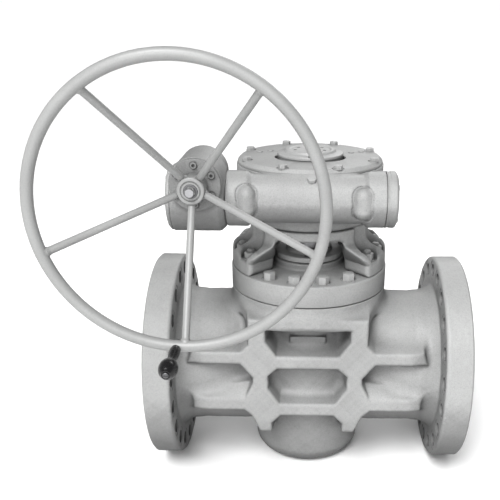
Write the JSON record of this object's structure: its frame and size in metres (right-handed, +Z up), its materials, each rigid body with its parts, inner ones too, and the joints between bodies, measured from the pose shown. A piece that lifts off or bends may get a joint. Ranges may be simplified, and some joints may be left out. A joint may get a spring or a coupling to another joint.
{
  "type": "plug valve",
  "caption": "Gear-operated flanged plug valve with bolted cover, worm gear operator, side input box and large dished handwheel with spinner handle.",
  "frame": {"origin": "centre of the flat underside of the body bowl, under the stem axis", "axes": "+X along the pipe, -Y towards the handwheel side, +Z up the stem"},
  "size_m": [0.972, 0.9075, 1.1255],
  "materials": {
    "paint_grey": "light grey machinery enamel over sand-cast steel, satin, faint cast grain",
    "paint_light": "light grey enamel on smooth steel tube, satin gloss",
    "graphite": "dark graphite sheet and braid, matt",
    "bronze": "machined bearing bronze",
    "steel": "machined and lightly oiled steel",
    "black_plastic": "black phenolic moulding, semi-gloss"
  },
  "bodies": {
    "root": {"valve_body": "paint_grey", "cover_gasket": "graphite", "bonnet_cover": "paint_grey", "cover_bolt_01": "paint_grey", "cover_bolt_02": "paint_grey", "cover_bolt_03": "paint_grey", "cover_bolt_04": "paint_grey", "cover_bolt_05": "paint_grey", "cover_bolt_06": "paint_grey", "cover_bolt_07": "paint_grey", "cover_bolt_08": "paint_grey", "cover_bolt_09": "paint_grey", "cover_bolt_10": "paint_grey", "cover_bolt_11": "paint_grey", "cover_bolt_12": "paint_grey", "cover_bolt_13": "paint_grey", "cover_bolt_14": "paint_grey", "cover_bolt_15": "paint_grey", "cover_bolt_16": "paint_grey", "gland_packing": "graphite", "gland_follower": "paint_grey", "gland_bolt_1": "steel", "gland_bolt_2": "steel", "yoke": "paint_grey", "gear_case": "paint_grey", "gear_case_cover": "paint_grey", "case_cover_bolt_1": "paint_grey", "case_cover_bolt_2": "paint_grey", "case_cover_bolt_3": "paint_grey", "case_cover_bolt_4": "paint_grey", "case_cover_bolt_5": "paint_grey", "case_cover_bolt_6": "paint_grey", "case_cover_bolt_7": "paint_grey", "case_cover_bolt_8": "paint_grey", "stop_screw_1": "paint_grey", "stop_screw_2": "paint_grey", "worm_bushing_left": "bronze", "worm_bushing_right": "bronze", "worm_end_cap": "paint_grey", "grease_plug": "paint_grey", "reduction_case": "paint_grey", "reduction_end_cap": "paint_grey", "input_cover": "paint_grey", "input_bushing": "bronze"},
    "plug_group": {"plug": "steel", "stem": "steel", "stem_key": "steel", "worm_wheel": "bronze", "indicator_cap": "paint_grey"},
    "worm_group": {"worm_shaft": "steel", "reduction_wheel": "bronze", "reduction_key": "steel"},
    "wheel_group": {"input_shaft": "steel", "handwheel": "paint_light", "wheel_key": "steel", "wheel_washer": "steel", "wheel_nut": "steel", "spinner_pin": "steel"},
    "spinner_group": {"spinner_grip": "black_plastic"}
  },
  "joints": [
    {"name": "plug_turn", "type": "hinge", "parent": "root", "child": "plug_group", "pos_m": [0, 0, 0.2795], "axis": [0, 0, -1], "range_deg": [0, 90]},
    {"name": "worm_turn", "type": "hinge", "parent": "root", "child": "worm_group", "pos_m": [0, -0.18, 0.7755], "axis": [1, 0, 0], "range_deg": [0, 3240]},
    {"name": "handwheel_turn", "type": "hinge", "parent": "root", "child": "wheel_group", "pos_m": [-0.255, -0.333, 0.8275], "axis": [0, 1, 0], "range_deg": [0, 16200]},
    {"name": "spinner_turn", "type": "hinge", "parent": "wheel_group", "child": "spinner_group", "pos_m": [-0.27249, -0.56, 0.54153], "axis": [0, 1, 0], "continuous": true}
  ],
  "couplings": [
    {"joint": "worm_turn", "follows": "plug_turn", "ratio": 36},
    {"joint": "handwheel_turn", "follows": "plug_turn", "ratio": 180}
  ]
}
